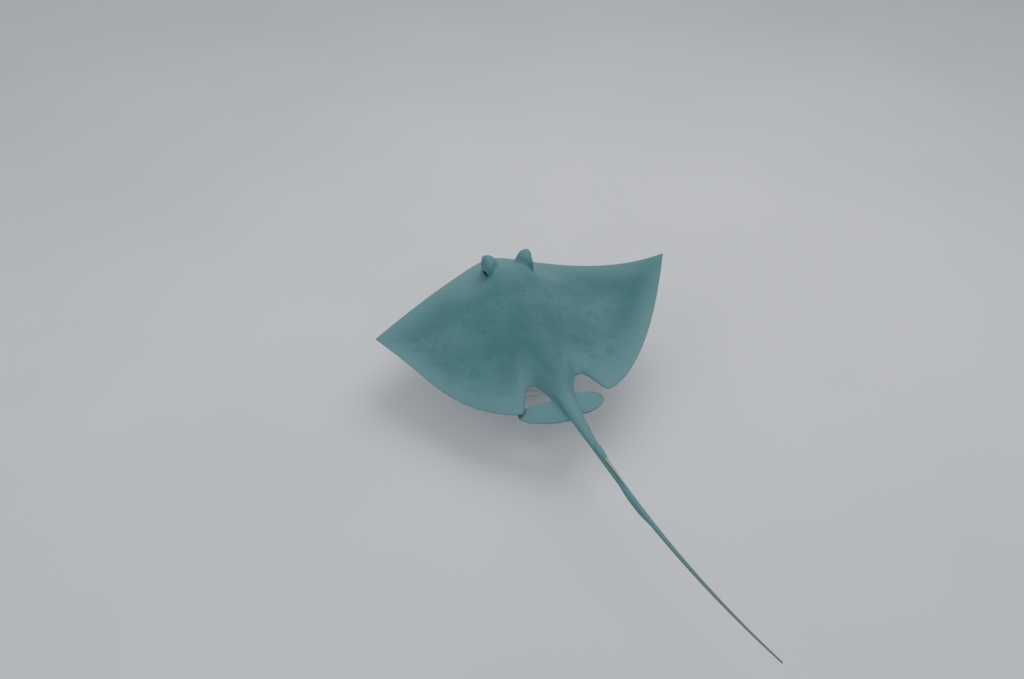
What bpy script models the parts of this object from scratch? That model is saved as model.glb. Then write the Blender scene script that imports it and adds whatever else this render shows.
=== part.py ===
"""A cowtail stingray at life size, gliding level with its right wing tip raised, on a display stand.

Metres, +Z up. The ray heads along +Y and its right side is towards +X. The origin is the middle of
the underside of the stand's base. The animal is modelled whole, from spheres whose points are moved
to lofted sections, and is then parted with thin cuts into head, trunk, fins and lengths of tail.
"""

import math
from functools import partial

import bmesh
import bpy
from mathutils import Vector

GAP = 0.0003                      # clearance between touching pieces, and the width of a parting cut

# Disc, seen from above. Lengths along the body are measured from the middle of the disc.
DISC_WIDTH = 1.20
HALF_WIDTH = DISC_WIDTH / 2
SNOUT_Y = 0.420 * DISC_WIDTH
WING_TIP_Y = 0.020 * DISC_WIDTH
REAR_LOBE_Y = -0.426 * DISC_WIDTH
NOTCH_Y = -0.325 * DISC_WIDTH     # front of the notch between the pectoral and pelvic fins
TAIL_ROOT_Y = -0.490 * DISC_WIDTH # end of the wedge that the trunk narrows to
REAR_LOBE_SPAN = 0.275            # these three are fractions of the half width
NOTCH_SPAN = 0.168
WEDGE_SPAN = 0.143
SNOUT_ROUNDING = 0.06
FRONT_BOW = 1.10                  # 1 is a straight front margin
REAR_BOW = 1.55
SECTION_SPACING = 0.55            # sections stand closer together in the middle than at the tips

# Thickness above and below the margin.
WING_TOP = 0.036
WING_BOTTOM = 0.023
WING_THINNING = 1.5               # how the wing thins out to its tip
REAR_THINNING = 0.55              # part of the thickness lost by the rear margin
EDGE_HALF = 0.0030                # half thickness kept out to the wing tips
EDGE_FULLNESS = 0.9
BACK_HEIGHT = 0.086
BACK_FRONT_Y = 0.108              # the back is at its highest from here ...
BACK_REAR_Y = -0.060              # ... to here
BACK_HALF_WIDTH = 0.175
BACK_ROUNDING = 2.1
BACK_EASE = 1.6                   # how soon the back rises behind the margin
BACK_REAR_LOSS = 0.62             # part of the height lost by the rear lobes
BACK_REAR_WIDTH = 0.42            # part of the width kept by the rear lobes
BACK_HEAD_WIDTH = 0.73            # part of the width kept at the eyes ...
BACK_HEAD_RUN = 0.20              # ... this far in front of the highest part
CROWN_HEIGHT = 0.034              # the skull between and behind the eyes
CROWN_HALF_WIDTH = 0.100
CROWN_ROUNDING = 4.0
CROWN_FRONT_Y = 0.420
CROWN_FRONT_RUN = 0.140           # it rises over this length behind its front ...
CROWN_REAR_Y = 0.020
CROWN_REAR_RUN = 0.200            # ... and falls over this one to its rear
BELLY_DEPTH = 0.022
BELLY_HALF_WIDTH = 0.20
BELLY_FRONT_RUN = 0.30            # the belly deepens over these lengths from snout and notch
BELLY_REAR_RUN = 0.20

# Pose: how the margin rises and droops.
MARGIN_HEIGHT = 0.250             # of the level margin above the floor
RIGHT_LIFT = 0.160 * DISC_WIDTH
RIGHT_LIFT_POWER = 3.20
LEFT_LIFT = 0.012 * DISC_WIDTH
LEFT_LIFT_POWER = 2.3
SNOUT_DROOP = 0.026 * DISC_WIDTH
LOBE_LIFT_RIGHT = 0.020           # the rear lobes follow their wings, one up and one down ...
LOBE_LIFT_LEFT = -0.018
LOBE_LIFT_FRONT_Y = -0.180        # ... from here rearwards
LOBE_LIFT_RUN = 0.330
LOBE_LIFT_HALF_WIDTH = 0.170
WAVE_LIFT_RIGHT = 0.010           # and so do the rear margins between each lobe and its tip ...
WAVE_LIFT_LEFT = -0.035
WAVE_FRONT_Y = 0.000              # ... from here rearwards
WAVE_RUN = 0.300

# Eyes, on the steep outer sides of raised brows.
BROW_CENTRE = (0.084, 0.243, 0.098)
BROW_OUTER = 0.025                # half width towards the wing ...
BROW_INNER = 0.050                # ... and towards the crown
BROW_HALF_LENGTH = 0.058
BROW_HEIGHT = 0.067
BROW_PEAK = 1.25                  # over 1, the brow narrows to its top
BROW_SPREAD = 0.60                # how far the foot of the brow runs out into the back
BROW_LEAN = 0.62                  # how the foot slopes with the head, forwards and outwards
EYE_CENTRE = (0.091, 0.258, 0.134)
EYE_RADIUS = 0.0165

# Pelvic fins. The left one is spread back and down, and its tip lies under the corner of its wing.
PELVIC_ROOT_X = -0.006            # the roots cross inside the trunk
PELVIC_ROOT_Y = -0.542            # of the middle of the root
PELVIC_LEFT = (0.176, -0.502, 0.040, 0.014)   # x and y of the tip, its droop, and how far back the root is
PELVIC_RIGHT = (0.144, -0.514, 0.010, 0.000)
PELVIC_CHORD = 0.116
PELVIC_ROUNDING = 2.8
PELVIC_HALF = 0.008
PELVIC_THINNING = 0.65
PELVIC_Z = 0.004

# Tail: one Bezier curve, its widths, the fold under it and the sting on it.
TAIL_CURVE = (
    (0.000, -0.300, 0.012),
    (-0.017, -0.659, 0.036),
    (0.064, -1.146, -0.040),
    (0.271, -1.591, -0.097),
)
TAIL_TIP_HALF = 0.0032
TAIL_STEM_HALF = 0.0165
TAIL_TAPER = 1.15
TAIL_FLARE = 0.020                # the broader root between the pelvic fins
TAIL_FLARE_END = 0.30
TAIL_FLARE_POWER = 4.0            # how soon the flare ends
TAIL_FLARE_HEIGHT = 0.42          # part of the flare that adds to the height
FOLD_START = 0.44
FOLD_END = 0.655
FOLD_DEPTH = 0.020
FOLD_LEAST = 0.0012
FOLD_HALF = 0.0020
FOLD_FRONT_RUN = 0.50             # parts of the fold's length over which it deepens ...
FOLD_REAR_RUN = 0.40              # ... and runs out
STING_START = 0.405
STING_END = 0.520
STING_HALF = 0.0050
STING_TIP_HALF = 0.0008
STING_THICK = 0.0022
STING_TIP_THICK = 0.35            # part of the thickness kept at the tip
STING_TAPER = 2.2
STING_RISE = 0.006

# Parting cuts, and a place well inside each fin.
ROOT_CUT_FRONT = (0.205, 0.400)   # the cut along each wing's root, from the front ...
ROOT_CUT_REAR = (0.092, -0.396)   # ... to the notch
ROOT_CUT_OVERRUN = 0.08           # part of its length that the cut runs past each end
CUT_HEIGHT = 0.5
NECK_CUT_Y = 0.146
PELVIC_CUT_X = 0.072
TAIL_CUTS = (0.27, 0.39, 0.68)
HEAD_Y = 0.25
TRUNK_Y = -0.15
WING_X = 0.28
PELVIC_X = 0.10

# Stand.
BASE_RADIUS = 0.190
BASE_THICKNESS = 0.018
BASE_EDGE = 0.003                 # width of the rounding of its edges
ROD_RADIUS = 0.007
ROD_PLACES = (("front", 0.120), ("rear", -0.120))

# Facets of each shape: round it, and along it.
DISC_MESH = (36, 52)
TAIL_MESH = (12, 40)
PELVIC_MESH = (16, 10)
BROW_MESH = (20, 14)
EYE_MESH = (16, 10)
FOLD_MESH = (8, 20)
STING_MESH = (8, 14)
BASE_SIDES = 72
ROD_SIDES = 24
SHARP_ANGLE = math.radians(40)

COLOURS = {
    "skin": ((0.080, 0.105, 0.105, 1.0), 0.55, 0.0),
    "eye": ((0.012, 0.012, 0.010, 1.0), 0.10, 0.0),
    "sting": ((0.620, 0.560, 0.440, 1.0), 0.45, 0.0),
    "base": ((0.420, 0.430, 0.440, 1.0), 0.50, 0.0),
    "rod": ((0.600, 0.600, 0.610, 1.0), 0.30, 1.0),
}


def clear_scene():
    for item in list(bpy.data.objects):
        bpy.data.objects.remove(item, do_unlink=True)


def new_collection(name):
    group = bpy.data.collections.new(name)
    bpy.context.scene.collection.children.link(group)
    return group


def smooth(value):
    value = min(max(value, 0.0), 1.0)
    return value * value * (3.0 - 2.0 * value)


def mix(start, end, part):
    return start + (end - start) * part


# ---- The shape of the animal ----

def front_margin(span):
    """y of the front margin at a span from 0 at the middle to 1 at the wing tip."""
    rounded = math.hypot(span, SNOUT_ROUNDING) - SNOUT_ROUNDING
    reach = rounded / (math.hypot(1.0, SNOUT_ROUNDING) - SNOUT_ROUNDING)
    return SNOUT_Y - (SNOUT_Y - WING_TIP_Y) * reach ** FRONT_BOW


def rear_margin(span):
    """y of the rear margin: from the tip to the rear lobe, into the notch, and out to the tail."""
    if span >= REAR_LOBE_SPAN:
        part = (span - REAR_LOBE_SPAN) / (1.0 - REAR_LOBE_SPAN)
        return mix(WING_TIP_Y, REAR_LOBE_Y, 1.0 - min(part, 1.0) ** REAR_BOW)
    if span >= WEDGE_SPAN:
        part = (span - NOTCH_SPAN) / (REAR_LOBE_SPAN - NOTCH_SPAN)
        return mix(NOTCH_Y, REAR_LOBE_Y, smooth(part))
    return mix(TAIL_ROOT_Y, NOTCH_Y, smooth(span / WEDGE_SPAN))


def margin_lift(x, y):
    """Height of the disc's middle surface: raised right wing, rear lobes, waved margins and snout."""
    span = min(abs(x) / HALF_WIDTH, 1.0)
    if x > 0:
        lift = RIGHT_LIFT * span ** RIGHT_LIFT_POWER
    else:
        lift = LEFT_LIFT * span ** LEFT_LIFT_POWER
    lobe = LOBE_LIFT_RIGHT if x > 0 else LOBE_LIFT_LEFT
    lift += lobe * smooth((LOBE_LIFT_FRONT_Y - y) / LOBE_LIFT_RUN) * smooth(abs(x) / LOBE_LIFT_HALF_WIDTH)
    wave = WAVE_LIFT_RIGHT if x > 0 else WAVE_LIFT_LEFT
    reach = max((span - REAR_LOBE_SPAN) / (1.0 - REAR_LOBE_SPAN), 0.0)
    lift += wave * math.sin(math.pi * reach) ** 2 * smooth((WAVE_FRONT_Y - y) / WAVE_RUN)
    return lift - SNOUT_DROOP * smooth(y / SNOUT_Y) * (1.0 - span)


def back_height(x, y):
    """Height of the rounded back over the wings' own thickness."""
    rise = smooth((SNOUT_Y - y) / (SNOUT_Y - BACK_FRONT_Y))
    rearward = smooth((BACK_REAR_Y - y) / (BACK_REAR_Y - REAR_LOBE_Y))
    headward = smooth((y - BACK_FRONT_Y) / BACK_HEAD_RUN)
    fall = 1.0 - BACK_REAR_LOSS * rearward
    width = BACK_HALF_WIDTH * mix(1.0, BACK_REAR_WIDTH, rearward) * mix(1.0, BACK_HEAD_WIDTH, headward)
    return BACK_HEIGHT * rise * fall * math.exp(-(abs(x) / width) ** BACK_ROUNDING)


def crown_height(x, y):
    """Height of the flat-topped skull over the rounded back."""
    length = smooth((CROWN_FRONT_Y - y) / CROWN_FRONT_RUN) * smooth((y - CROWN_REAR_Y) / CROWN_REAR_RUN)
    return CROWN_HEIGHT * length * math.exp(-(abs(x) / CROWN_HALF_WIDTH) ** CROWN_ROUNDING)


def belly_depth(x, y):
    length = smooth((SNOUT_Y - y) / BELLY_FRONT_RUN) * smooth((y - NOTCH_Y) / BELLY_REAR_RUN)
    return BELLY_DEPTH * length * math.exp(-(x / BELLY_HALF_WIDTH) ** 2)


def disc_point(along, around):
    """A point of the disc: along runs from tip to tip, around goes over the top and back below."""
    x = HALF_WIDTH * along * mix(SECTION_SPACING, 1.0, along * along)
    span = abs(x) / HALF_WIDTH
    chord = (1.0 - math.cos(around)) / 2.0
    y = mix(front_margin(span), rear_margin(span), chord)
    rim = abs(math.sin(around))
    thin = (1.0 - span ** WING_THINNING) * (1.0 - REAR_THINNING * chord)
    if around > 0:
        offset = rim ** EDGE_FULLNESS * (WING_TOP * thin + EDGE_HALF)
        offset += (back_height(x, y) + crown_height(x, y)) * smooth(rim * BACK_EASE)
    else:
        offset = -rim * (WING_BOTTOM * thin + EDGE_HALF + belly_depth(x, y))
    return Vector((x, y, MARGIN_HEIGHT + margin_lift(x, y) + offset))


def pelvic_point(side, along, around):
    """A point of a pelvic fin: a small rounded triangle beside the root of the tail."""
    tip_x, tip_y, droop, set_back = PELVIC_LEFT if side < 0 else PELVIC_RIGHT
    span = min((along + 1.0) / 2.0, 1.0)
    half_chord = PELVIC_CHORD / 2.0 * math.sqrt(1.0 - span ** PELVIC_ROUNDING)
    y = mix(PELVIC_ROOT_Y - set_back, tip_y, span) + half_chord * math.cos(around)
    half = PELVIC_HALF * (1.0 - PELVIC_THINNING * span)
    z = MARGIN_HEIGHT + PELVIC_Z - droop * span + half * math.sin(around)
    return Vector((side * mix(PELVIC_ROOT_X, tip_x, span), y, z))


def eye_point(side, radius, along, around):
    """A point of an eyeball, or of its socket."""
    ring = radius * math.cos(along * math.pi / 2.0)
    x = side * EYE_CENTRE[0] + ring * math.cos(around)
    y = EYE_CENTRE[1] + ring * math.sin(around)
    return Vector((x, y, MARGIN_HEIGHT + EYE_CENTRE[2] + radius * math.sin(along * math.pi / 2.0)))


def brow_point(side, along, around):
    """A point of a brow: peaked, steep on its outer side, with a foot that spreads into the back."""
    rise = math.sin(along * math.pi / 2.0)
    ring = math.cos(along * math.pi / 2.0)
    if rise > 0.0:
        ring = max(ring, 0.0) ** BROW_PEAK
    foot = smooth(-rise)
    spread = ring * (1.0 + BROW_SPREAD * foot)
    half_width = mix(BROW_INNER, BROW_OUTER, smooth((side * math.cos(around) + 1.0) / 2.0))
    across = half_width * spread * math.cos(around)
    forward = BROW_HALF_LENGTH * spread * math.sin(around)
    z = BROW_CENTRE[2] + BROW_HEIGHT * rise - BROW_LEAN * foot * (forward + side * across)
    return Vector((side * BROW_CENTRE[0] + across, BROW_CENTRE[1] + forward, MARGIN_HEIGHT + z))


def tail_frame(part):
    """Centre, direction, sideways and upwards vectors of the tail at a part of its length."""
    a, b, c, d = (Vector(point) for point in TAIL_CURVE)
    rest = 1.0 - part
    centre = a * rest ** 3 + b * 3 * rest ** 2 * part + c * 3 * rest * part ** 2 + d * part ** 3
    along = ((b - a) * rest ** 2 + (c - b) * 2 * rest * part + (d - c) * part ** 2).normalized()
    side = along.cross(Vector((0, 0, 1))).normalized()
    centre.z += MARGIN_HEIGHT
    return centre, along, side, side.cross(along)


def tail_halves(part):
    """Half width and half height of the tail."""
    flare = TAIL_FLARE * math.exp(-(part / TAIL_FLARE_END) ** TAIL_FLARE_POWER)
    stem = TAIL_TIP_HALF + TAIL_STEM_HALF * (1.0 - part) ** TAIL_TAPER
    return stem + flare, stem + TAIL_FLARE_HEIGHT * flare


def tail_point(along, around):
    part = (along + 1.0) / 2.0
    centre, _, side, up = tail_frame(part)
    half_width, half_height = tail_halves(part)
    return centre + side * half_width * math.cos(around) + up * half_height * math.sin(around)


def fold_point(along, around):
    """A point of the skin fold that hangs under the tail, deepest towards its rear end."""
    run = (along + 1.0) / 2.0
    part = mix(FOLD_START, FOLD_END, run)
    centre, _, side, up = tail_frame(part)
    depth = FOLD_DEPTH * smooth(run / FOLD_FRONT_RUN) * smooth((1.0 - run) / FOLD_REAR_RUN) + FOLD_LEAST
    top = tail_halves(part)[1] + GAP
    drop = top + depth * (1.0 - math.sin(around)) / 2.0
    return centre + side * FOLD_HALF * math.cos(around) - up * drop


def sting_point(along, around):
    """A point of the tail spine, a flat tapered blade that lies back along the tail."""
    run = (along + 1.0) / 2.0
    part = mix(STING_START, STING_END, run)
    centre, _, side, up = tail_frame(part)
    taper = 1.0 - run ** STING_TAPER
    lift = tail_halves(part)[1] + GAP + STING_THICK + STING_RISE * run
    half_width = STING_HALF * taper + STING_TIP_HALF
    half_height = STING_THICK * mix(STING_TIP_THICK, 1.0, taper)
    return centre + side * half_width * math.cos(around) + up * (lift + half_height * math.sin(around))


# ---- Making and joining ----

def add_mesh(name, mesh, group):
    item = bpy.data.objects.new(name, mesh)
    group.objects.link(item)
    return item


def face_outwards(shape):
    if shape.calc_volume(signed=True) < 0.0:
        bmesh.ops.reverse_faces(shape, faces=shape.faces)


def shaped_sphere(name, group, facets, place):
    """A sphere whose poles are the two ends of a loft, each point moved by place(along, around)."""
    shape = bmesh.new()
    bmesh.ops.create_uvsphere(shape, u_segments=facets[0], v_segments=facets[1], radius=1.0)
    for point in shape.verts:
        along = math.asin(min(max(point.co.z, -1.0), 1.0)) * 2.0 / math.pi
        around = math.atan2(point.co.y, point.co.x)
        point.co = place(along, around)
    face_outwards(shape)
    mesh = bpy.data.meshes.new(name)
    shape.to_mesh(mesh)
    shape.free()
    return add_mesh(name, mesh, group)


def eye_ball(name, group, side, radius):
    return shaped_sphere(name, group, EYE_MESH, partial(eye_point, side, radius))


def slab(name, group, centre, length, direction, height):
    """A cutter: a sheet of the parting cut's width, standing along a direction."""
    shape = bmesh.new()
    bmesh.ops.create_cube(shape, size=1.0)
    forward = Vector(direction).normalized()
    up = Vector((0, 0, 1)) - forward * forward.z
    up.normalize()
    across = forward.cross(up)
    middle = Vector(centre)
    for point in shape.verts:
        x, y, z = point.co
        point.co = middle + across * (x * GAP) + forward * (y * length) + up * (z * height)
    face_outwards(shape)
    mesh = bpy.data.meshes.new(name)
    shape.to_mesh(mesh)
    shape.free()
    return add_mesh(name, mesh, group)


def combine(target, other, operation, solver="EXACT"):
    step = target.modifiers.new(other.name, "BOOLEAN")
    step.operation = operation
    step.solver = solver
    step.object = other
    other.hide_render = True
    other.display_type = "WIRE"


def root_cut(side, cutters):
    """The sheet between the trunk and one wing."""
    front = Vector((side * ROOT_CUT_FRONT[0], ROOT_CUT_FRONT[1], MARGIN_HEIGHT))
    rear = Vector((side * ROOT_CUT_REAR[0], ROOT_CUT_REAR[1], MARGIN_HEIGHT))
    run = front - rear
    length = run.length * (1.0 + 2.0 * ROOT_CUT_OVERRUN)
    return slab("cut_root", cutters, (front + rear) / 2.0, length, run, CUT_HEIGHT)


def root_cut_x(y):
    part = (y - ROOT_CUT_REAR[1]) / (ROOT_CUT_FRONT[1] - ROOT_CUT_REAR[1])
    return mix(ROOT_CUT_REAR[0], ROOT_CUT_FRONT[0], part)


def parting_cuts(cutters):
    cuts = [root_cut(-1, cutters), root_cut(1, cutters)]
    neck = 2.0 * root_cut_x(NECK_CUT_Y)
    cuts.append(slab("cut_neck", cutters, (0, NECK_CUT_Y, MARGIN_HEIGHT), neck, (1, 0, 0), CUT_HEIGHT))
    for side in (-1, 1):
        centre = (side * PELVIC_CUT_X, PELVIC_ROOT_Y, MARGIN_HEIGHT)
        cuts.append(slab("cut_pelvic", cutters, centre, 2.0 * PELVIC_CHORD, (0, 1, 0), CUT_HEIGHT))
    for part in TAIL_CUTS:
        centre, _, side, _ = tail_frame(part)
        cuts.append(slab("cut_tail", cutters, centre, 2.0 * PELVIC_CUT_X, side, CUT_HEIGHT))
    return cuts


def whole_body(cutters):
    """The animal in one piece, with its eye sockets, and the thin cuts that part it."""
    body = shaped_sphere("body", cutters, DISC_MESH, disc_point)
    combine(body, shaped_sphere("tail_core", cutters, TAIL_MESH, tail_point), "UNION")
    for side in (-1, 1):
        fin = shaped_sphere("pelvic_core", cutters, PELVIC_MESH, partial(pelvic_point, side))
        combine(body, fin, "UNION")
        brow = shaped_sphere("brow", cutters, BROW_MESH, partial(brow_point, side))
        combine(body, brow, "UNION")
        combine(body, eye_ball("socket", cutters, side, EYE_RADIUS + GAP), "DIFFERENCE")
    for cut in parting_cuts(cutters):
        combine(body, cut, "DIFFERENCE", "MANIFOLD")  # EXACT loses a piece that is already cut off
    return body


def islands(shape):
    """The separate closed pieces of a mesh, each as a set of face indices."""
    left = set(shape.faces)
    found = []
    while left:
        seed = left.pop()
        piece = {seed}
        reached = [seed]
        while reached:
            face = reached.pop()
            for edge in face.edges:
                for other in edge.link_faces:
                    if other in left:
                        left.remove(other)
                        piece.add(other)
                        reached.append(other)
        found.append({face.index for face in piece})
    return found


def part_body(body, names, group):
    """Split the cut body into its pieces, and name each by the place it is nearest to."""
    graph = bpy.context.evaluated_depsgraph_get()
    mesh = bpy.data.meshes.new_from_object(body.evaluated_get(graph))
    whole = bmesh.new()
    whole.from_mesh(mesh)
    whole.faces.index_update()
    for kept in islands(whole):
        piece = bmesh.new()
        piece.from_mesh(mesh)
        piece.faces.ensure_lookup_table()
        others = [face for face in piece.faces if face.index not in kept]
        bmesh.ops.delete(piece, geom=others, context="FACES")
        middle = sum((point.co for point in piece.verts), Vector()) / len(piece.verts)
        name = min(names, key=lambda key: (Vector(names[key]) - middle).length)
        part = bpy.data.meshes.new(name)
        piece.to_mesh(part)
        piece.free()
        add_mesh(name, part, group)
    whole.free()
    bpy.data.meshes.remove(mesh)


def piece_places():
    """A point well inside each piece that the cuts leave."""
    places = {
        "head": (0.0, HEAD_Y, MARGIN_HEIGHT),
        "trunk": (0.0, TRUNK_Y, MARGIN_HEIGHT),
        "pectoral_fin_left": (-WING_X, 0.0, MARGIN_HEIGHT),
        "pectoral_fin_right": (WING_X, 0.0, MARGIN_HEIGHT),
        "pelvic_fin_left": (-PELVIC_X, PELVIC_ROOT_Y, MARGIN_HEIGHT),
        "pelvic_fin_right": (PELVIC_X, PELVIC_ROOT_Y, MARGIN_HEIGHT),
    }
    ends = TAIL_CUTS + (1.0,)
    for index, name in enumerate(("tail_root", "tail_middle", "tail_whip")):
        places[name] = tail_frame((ends[index] + ends[index + 1]) / 2.0)[0]
    return places


def cylinder(name, group, radius, bottom, top, y, segments, bevel):
    shape = bmesh.new()
    bmesh.ops.create_cone(shape, cap_ends=True, segments=segments, radius1=radius, radius2=radius,
                          depth=top - bottom)
    mesh = bpy.data.meshes.new(name)
    shape.to_mesh(mesh)
    shape.free()
    item = add_mesh(name, mesh, group)
    item.location = (0.0, y, (bottom + top) / 2.0)
    if bevel:
        step = item.modifiers.new("edge", "BEVEL")
        step.width = bevel
        step.segments = 2
    return item


def underside(y):
    """Height of the belly on the midline, where a rod meets it."""
    front = front_margin(0.0)
    chord = (front - y) / (front - rear_margin(0.0))
    around = -math.acos(1.0 - 2.0 * chord)
    return disc_point(0.0, around).z


def stand(group):
    cylinder("stand_base", group, BASE_RADIUS, 0.0, BASE_THICKNESS, 0.0, BASE_SIDES, BASE_EDGE)
    for place, y in ROD_PLACES:
        lowest = min(underside(y - ROD_RADIUS), underside(y), underside(y + ROD_RADIUS))
        cylinder("stand_rod_" + place, group, ROD_RADIUS, BASE_THICKNESS + GAP, lowest - 2 * GAP,
                 y, ROD_SIDES, 0.0)


def colour(item, kind):
    tint, roughness, metallic = COLOURS[kind]
    material = bpy.data.materials.new(item.name + "_" + kind)
    material.use_nodes = True
    shader = material.node_tree.nodes["Principled BSDF"]
    shader.inputs["Base Color"].default_value = tint
    shader.inputs["Roughness"].default_value = roughness
    shader.inputs["Metallic"].default_value = metallic
    item.data.materials.clear()
    item.data.materials.append(material)


def material_kind(name):
    for word in ("eye", "sting", "base", "rod"):
        if word in name:
            return word
    return "skin"


def main():
    clear_scene()
    ray = new_collection("stingray")
    cutters = new_collection("cutters")
    body = whole_body(cutters)
    part_body(body, piece_places(), ray)
    bpy.data.objects.remove(body, do_unlink=True)
    shaped_sphere("tail_fold", ray, FOLD_MESH, fold_point)
    shaped_sphere("tail_sting", ray, STING_MESH, sting_point)
    eye_ball("eye_left", ray, -1, EYE_RADIUS)
    eye_ball("eye_right", ray, 1, EYE_RADIUS)
    stand(ray)
    for item in ray.objects:
        item.data.shade_smooth()
        item.data.set_sharp_from_angle(angle=SHARP_ANGLE)
        colour(item, material_kind(item.name))


main()
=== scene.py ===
"""A cowtail stingray on a display stand: its skin, eyes, sting and stand, with a floor, lights and camera.

Metres, +Z up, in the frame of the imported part. The skin is one closed surface over the part's flesh
nodes. It is made from the same lofted shapes, joined, rounded where they meet, and then given its
lids, spiracles, mouth, nostrils, gill slits, vent and thorns.
"""

import math
from functools import partial

import bmesh
import bpy
import numpy as np
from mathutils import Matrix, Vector


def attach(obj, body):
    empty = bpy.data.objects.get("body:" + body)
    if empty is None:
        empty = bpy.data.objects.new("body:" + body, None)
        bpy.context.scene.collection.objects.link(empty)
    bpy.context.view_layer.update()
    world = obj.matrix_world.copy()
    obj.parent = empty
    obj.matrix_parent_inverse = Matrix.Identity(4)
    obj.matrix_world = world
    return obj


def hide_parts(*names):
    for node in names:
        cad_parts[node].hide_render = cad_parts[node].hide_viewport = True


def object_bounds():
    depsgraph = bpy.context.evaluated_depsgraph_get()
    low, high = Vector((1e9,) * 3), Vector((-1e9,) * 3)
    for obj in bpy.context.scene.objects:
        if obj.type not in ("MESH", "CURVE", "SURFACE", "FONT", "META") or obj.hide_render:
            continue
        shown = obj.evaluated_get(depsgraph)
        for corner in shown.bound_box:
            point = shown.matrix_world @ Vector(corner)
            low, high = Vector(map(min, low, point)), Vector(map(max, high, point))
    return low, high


FLESH = (
    "head", "trunk", "pectoral_fin_left", "pectoral_fin_right", "pelvic_fin_left",
    "pelvic_fin_right", "tail_root", "tail_middle", "tail_whip", "tail_fold",
)

# ---- Sizes of the part, as its source has them ----

# Disc, seen from above. Lengths along the body are measured from the middle of the disc.
DISC_WIDTH = 1.20
HALF_WIDTH = DISC_WIDTH / 2
SNOUT_Y = 0.420 * DISC_WIDTH
WING_TIP_Y = 0.020 * DISC_WIDTH
REAR_LOBE_Y = -0.426 * DISC_WIDTH
NOTCH_Y = -0.325 * DISC_WIDTH     # front of the notch between the pectoral and pelvic fins
TAIL_ROOT_Y = -0.490 * DISC_WIDTH # end of the wedge that the trunk narrows to
REAR_LOBE_SPAN = 0.275            # these three are fractions of the half width
NOTCH_SPAN = 0.168
WEDGE_SPAN = 0.143
SNOUT_ROUNDING = 0.06
FRONT_BOW = 1.10                  # 1 is a straight front margin
REAR_BOW = 1.55
SECTION_SPACING = 0.55            # sections stand closer together in the middle than at the tips

# Thickness above and below the margin.
WING_TOP = 0.036
WING_BOTTOM = 0.023
WING_THINNING = 1.5               # how the wing thins out to its tip
REAR_THINNING = 0.55              # part of the thickness lost by the rear margin
EDGE_HALF = 0.0030                # half thickness kept out to the wing tips
EDGE_FULLNESS = 0.9
BACK_HEIGHT = 0.086
BACK_FRONT_Y = 0.108              # the back is at its highest from here ...
BACK_REAR_Y = -0.060              # ... to here
BACK_HALF_WIDTH = 0.175
BACK_ROUNDING = 2.1
BACK_EASE = 1.6                   # how soon the back rises behind the margin
BACK_REAR_LOSS = 0.62             # part of the height lost by the rear lobes
BACK_REAR_WIDTH = 0.42            # part of the width kept by the rear lobes
BACK_HEAD_WIDTH = 0.73            # part of the width kept at the eyes ...
BACK_HEAD_RUN = 0.20              # ... this far in front of the highest part
CROWN_HEIGHT = 0.034              # the skull between and behind the eyes
CROWN_HALF_WIDTH = 0.100
CROWN_ROUNDING = 4.0
CROWN_FRONT_Y = 0.420
CROWN_FRONT_RUN = 0.140           # it rises over this length behind its front ...
CROWN_REAR_Y = 0.020
CROWN_REAR_RUN = 0.200            # ... and falls over this one to its rear
BELLY_DEPTH = 0.022
BELLY_HALF_WIDTH = 0.20
BELLY_FRONT_RUN = 0.30            # the belly deepens over these lengths from snout and notch
BELLY_REAR_RUN = 0.20

# Pose: how the margin rises and droops.
MARGIN_HEIGHT = 0.250             # of the level margin above the floor
RIGHT_LIFT = 0.160 * DISC_WIDTH
RIGHT_LIFT_POWER = 3.20
LEFT_LIFT = 0.012 * DISC_WIDTH
LEFT_LIFT_POWER = 2.3
SNOUT_DROOP = 0.026 * DISC_WIDTH
LOBE_LIFT_RIGHT = 0.020           # the rear lobes follow their wings, one up and one down ...
LOBE_LIFT_LEFT = -0.018
LOBE_LIFT_FRONT_Y = -0.180        # ... from here rearwards
LOBE_LIFT_RUN = 0.330
LOBE_LIFT_HALF_WIDTH = 0.170
WAVE_LIFT_RIGHT = 0.010           # and so do the rear margins between each lobe and its tip ...
WAVE_LIFT_LEFT = -0.035
WAVE_FRONT_Y = 0.000              # ... from here rearwards
WAVE_RUN = 0.300

# Eyes, on the steep outer sides of raised brows.
BROW_CENTRE = (0.084, 0.243, 0.098)
BROW_OUTER = 0.025                # half width towards the wing ...
BROW_INNER = 0.050                # ... and towards the crown
BROW_HALF_LENGTH = 0.058
BROW_HEIGHT = 0.067
BROW_PEAK = 1.25                  # over 1, the brow narrows to its top
BROW_SPREAD = 0.60                # how far the foot of the brow runs out into the back
BROW_LEAN = 0.62                  # how the foot slopes with the head, forwards and outwards
EYE_CENTRE = (0.091, 0.258, 0.134)
EYE_RADIUS = 0.0165

# Pelvic fins. The left one is spread back and down, and its tip lies under the corner of its wing.
PELVIC_ROOT_X = -0.006            # the roots cross inside the trunk
PELVIC_ROOT_Y = -0.542            # of the middle of the root
PELVIC_LEFT = (0.176, -0.502, 0.040, 0.014)   # x and y of the tip, its droop, and how far back the root is
PELVIC_RIGHT = (0.144, -0.514, 0.010, 0.000)
PELVIC_CHORD = 0.116
PELVIC_ROUNDING = 2.8
PELVIC_HALF = 0.008
PELVIC_THINNING = 0.65
PELVIC_Z = 0.004

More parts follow.
